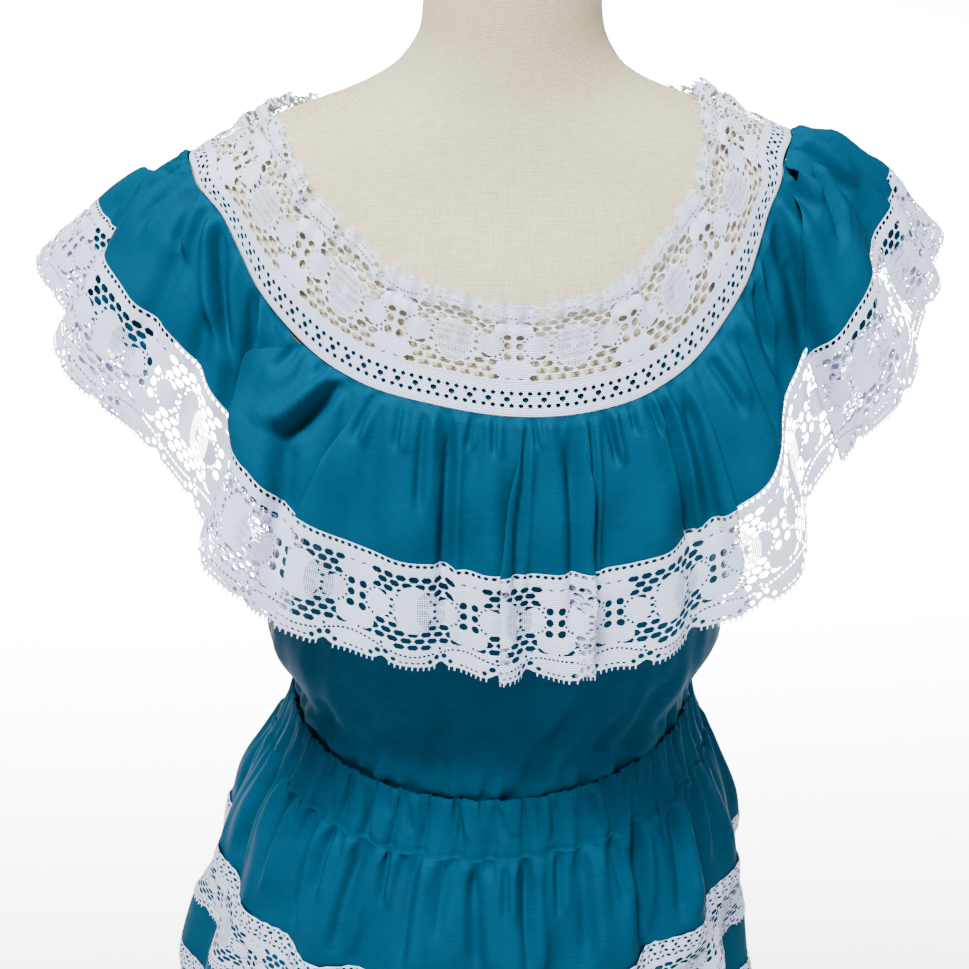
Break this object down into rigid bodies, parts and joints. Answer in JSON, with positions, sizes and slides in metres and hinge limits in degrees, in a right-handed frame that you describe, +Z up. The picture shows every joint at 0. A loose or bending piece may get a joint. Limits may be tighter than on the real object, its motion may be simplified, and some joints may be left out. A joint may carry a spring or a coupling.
{
  "type": "tiered skirt and ruffled top set on a limbless dress form",
  "caption": "Off-the-shoulder top with a gathered, lace-edged ruffle and a tiered skirt with lace rows, worn by a limbless dress form on a pole and round base.",
  "frame": {"origin": "centre of the base's underside, on the floor, under the form's axis", "axes": "+Z up along the pole, -Y to the front of the garment, +X to its right in the picture"},
  "size_m": [0.7398, 0.6922, 1.572],
  "materials": {
    "teal_poplin": "plain-woven cotton, matt",
    "white_lace": "machine-made cotton lace, matt",
    "cream_linen": "plain-woven linen with slubs, matt",
    "pale_wood": "waxed",
    "white_painted_steel": "satin"
  },
  "bodies": {
    "root": {"base": "white_painted_steel", "bodice_back": "teal_poplin", "bodice_front": "teal_poplin", "dress_form": "cream_linen", "hem_tier_back": "teal_poplin", "hem_tier_front": "teal_poplin", "insertion_band_back": "white_lace", "insertion_band_front": "white_lace", "neck_cap": "pale_wood", "neck_lace_back": "white_lace", "neck_lace_front": "white_lace", "pole": "white_painted_steel", "ruffle_back": "teal_poplin", "ruffle_front": "teal_poplin", "ruffle_lace_back": "white_lace", "ruffle_lace_front": "white_lace", "skirt_lace_1_back": "white_lace", "skirt_lace_1_front": "white_lace", "skirt_lace_2_back": "white_lace", "skirt_lace_2_front": "white_lace", "tier_2_back": "teal_poplin", "tier_2_front": "teal_poplin", "tier_3_back": "teal_poplin", "tier_3_front": "teal_poplin", "waist_casing_back": "teal_poplin", "waist_casing_front": "teal_poplin", "yoke_back": "teal_poplin", "yoke_front": "teal_poplin"}
  },
  "joints": []
}
